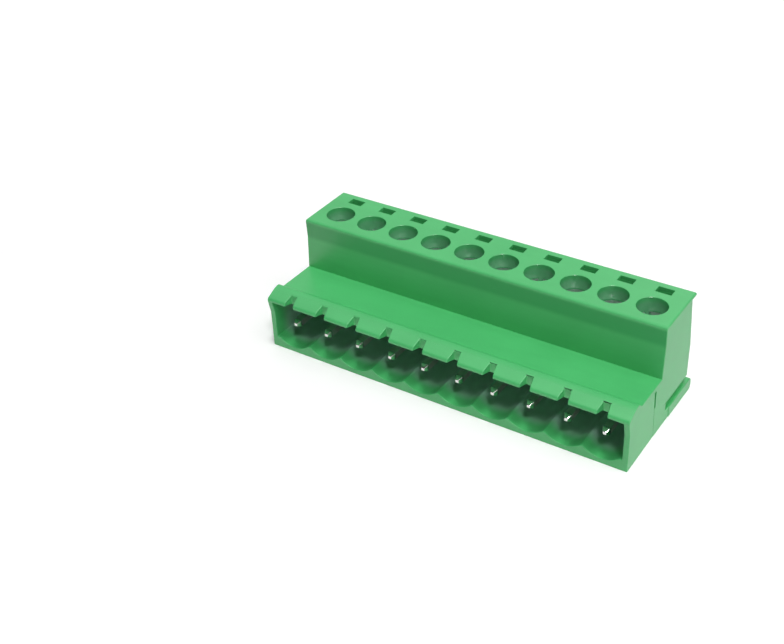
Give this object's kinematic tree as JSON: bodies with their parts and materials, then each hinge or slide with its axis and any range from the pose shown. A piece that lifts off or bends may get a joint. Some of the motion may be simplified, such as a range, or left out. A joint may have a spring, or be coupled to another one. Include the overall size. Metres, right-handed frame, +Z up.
{
  "type": "pluggable screw terminal block, pin half",
  "caption": "Rectangular pluggable terminal block, pin half: square pins in a shroud with a notched latch lip, rising-cage screw clamps with top access, and funnelled wire entries at the back.",
  "frame": {"origin": "on the base plane, under the middle of the block's outer box", "axes": "+X along the row of poles, -Y out of the mating side with the pins, +Y out of the wire side, +Z up to the screw heads"},
  "size_m": [0.0528, 0.0198, 0.0153],
  "materials": {
    "green_housing": "satin moulded polyamide",
    "green_guide": "satin moulded polyamide",
    "screw_steel": "bright zinc plate",
    "cage_steel": "dull zinc plate",
    "tinned_contact": "bright tin plate"
  },
  "bodies": {
    "housing": {"housing": "green_housing", "wire_guide": "green_guide", "pin_contact_01": "tinned_contact", "pin_contact_02": "tinned_contact", "pin_contact_03": "tinned_contact", "pin_contact_04": "tinned_contact", "pin_contact_05": "tinned_contact", "pin_contact_06": "tinned_contact", "pin_contact_07": "tinned_contact", "pin_contact_08": "tinned_contact", "pin_contact_09": "tinned_contact", "pin_contact_10": "tinned_contact"},
    "screw_01": {"clamp_screw_01": "screw_steel"},
    "cage_01": {"clamp_cage_01": "cage_steel"},
    "screw_02": {"clamp_screw_02": "screw_steel"},
    "cage_02": {"clamp_cage_02": "cage_steel"},
    "screw_03": {"clamp_screw_03": "screw_steel"},
    "cage_03": {"clamp_cage_03": "cage_steel"},
    "screw_04": {"clamp_screw_04": "screw_steel"},
    "cage_04": {"clamp_cage_04": "cage_steel"},
    "screw_05": {"clamp_screw_05": "screw_steel"},
    "cage_05": {"clamp_cage_05": "cage_steel"},
    "screw_06": {"clamp_screw_06": "screw_steel"},
    "cage_06": {"clamp_cage_06": "cage_steel"},
    "screw_07": {"clamp_screw_07": "screw_steel"},
    "cage_07": {"clamp_cage_07": "cage_steel"},
    "screw_08": {"clamp_screw_08": "screw_steel"},
    "cage_08": {"clamp_cage_08": "cage_steel"},
    "screw_09": {"clamp_screw_09": "screw_steel"},
    "cage_09": {"clamp_cage_09": "cage_steel"},
    "screw_10": {"clamp_screw_10": "screw_steel"},
    "cage_10": {"clamp_cage_10": "cage_steel"}
  },
  "joints": [
    {"name": "screw_01_turn", "type": "hinge", "parent": "housing", "child": "screw_01", "pos_m": [-0.02286, 0.00312, 0.01335], "axis": [0, 0, -1], "range_deg": [0, 1728]},
    {"name": "cage_01_lift", "type": "slide", "parent": "housing", "child": "cage_01", "axis": [0, 0, 1], "range_m": [0, 0.0024]},
    {"name": "screw_02_turn", "type": "hinge", "parent": "housing", "child": "screw_02", "pos_m": [-0.01778, 0.00312, 0.01335], "axis": [0, 0, -1], "range_deg": [0, 1728]},
    {"name": "cage_02_lift", "type": "slide", "parent": "housing", "child": "cage_02", "axis": [0, 0, 1], "range_m": [0, 0.0024]},
    {"name": "screw_03_turn", "type": "hinge", "parent": "housing", "child": "screw_03", "pos_m": [-0.0127, 0.00312, 0.01335], "axis": [0, 0, -1], "range_deg": [0, 1728]},
    {"name": "cage_03_lift", "type": "slide", "parent": "housing", "child": "cage_03", "axis": [0, 0, 1], "range_m": [0, 0.0024]},
    {"name": "screw_04_turn", "type": "hinge", "parent": "housing", "child": "screw_04", "pos_m": [-0.00762, 0.00312, 0.01335], "axis": [0, 0, -1], "range_deg": [0, 1728]},
    {"name": "cage_04_lift", "type": "slide", "parent": "housing", "child": "cage_04", "axis": [0, 0, 1], "range_m": [0, 0.0024]},
    {"name": "screw_05_turn", "type": "hinge", "parent": "housing", "child": "screw_05", "pos_m": [-0.00254, 0.00312, 0.01335], "axis": [0, 0, -1], "range_deg": [0, 1728]},
    {"name": "cage_05_lift", "type": "slide", "parent": "housing", "child": "cage_05", "axis": [0, 0, 1], "range_m": [0, 0.0024]},
    {"name": "screw_06_turn", "type": "hinge", "parent": "housing", "child": "screw_06", "pos_m": [0.00254, 0.00312, 0.01335], "axis": [0, 0, -1], "range_deg": [0, 1728]},
    {"name": "cage_06_lift", "type": "slide", "parent": "housing", "child": "cage_06", "axis": [0, 0, 1], "range_m": [0, 0.0024]},
    {"name": "screw_07_turn", "type": "hinge", "parent": "housing", "child": "screw_07", "pos_m": [0.00762, 0.00312, 0.01335], "axis": [0, 0, -1], "range_deg": [0, 1728]},
    {"name": "cage_07_lift", "type": "slide", "parent": "housing", "child": "cage_07", "axis": [0, 0, 1], "range_m": [0, 0.0024]},
    {"name": "screw_08_turn", "type": "hinge", "parent": "housing", "child": "screw_08", "pos_m": [0.0127, 0.00312, 0.01335], "axis": [0, 0, -1], "range_deg": [0, 1728]},
    {"name": "cage_08_lift", "type": "slide", "parent": "housing", "child": "cage_08", "axis": [0, 0, 1], "range_m": [0, 0.0024]},
    {"name": "screw_09_turn", "type": "hinge", "parent": "housing", "child": "screw_09", "pos_m": [0.01778, 0.00312, 0.01335], "axis": [0, 0, -1], "range_deg": [0, 1728]},
    {"name": "cage_09_lift", "type": "slide", "parent": "housing", "child": "cage_09", "axis": [0, 0, 1], "range_m": [0, 0.0024]},
    {"name": "screw_10_turn", "type": "hinge", "parent": "housing", "child": "screw_10", "pos_m": [0.02286, 0.00312, 0.01335], "axis": [0, 0, -1], "range_deg": [0, 1728]},
    {"name": "cage_10_lift", "type": "slide", "parent": "housing", "child": "cage_10", "axis": [0, 0, 1], "range_m": [0, 0.0024]}
  ],
  "couplings": [
    {"joint": "screw_01_turn", "follows": "cage_01_lift", "rad_per_m": 12566},
    {"joint": "screw_02_turn", "follows": "cage_02_lift", "rad_per_m": 12566},
    {"joint": "screw_03_turn", "follows": "cage_03_lift", "rad_per_m": 12566},
    {"joint": "screw_04_turn", "follows": "cage_04_lift", "rad_per_m": 12566},
    {"joint": "screw_05_turn", "follows": "cage_05_lift", "rad_per_m": 12566},
    {"joint": "screw_06_turn", "follows": "cage_06_lift", "rad_per_m": 12566},
    {"joint": "screw_07_turn", "follows": "cage_07_lift", "rad_per_m": 12566},
    {"joint": "screw_08_turn", "follows": "cage_08_lift", "rad_per_m": 12566},
    {"joint": "screw_09_turn", "follows": "cage_09_lift", "rad_per_m": 12566},
    {"joint": "screw_10_turn", "follows": "cage_10_lift", "rad_per_m": 12566}
  ]
}
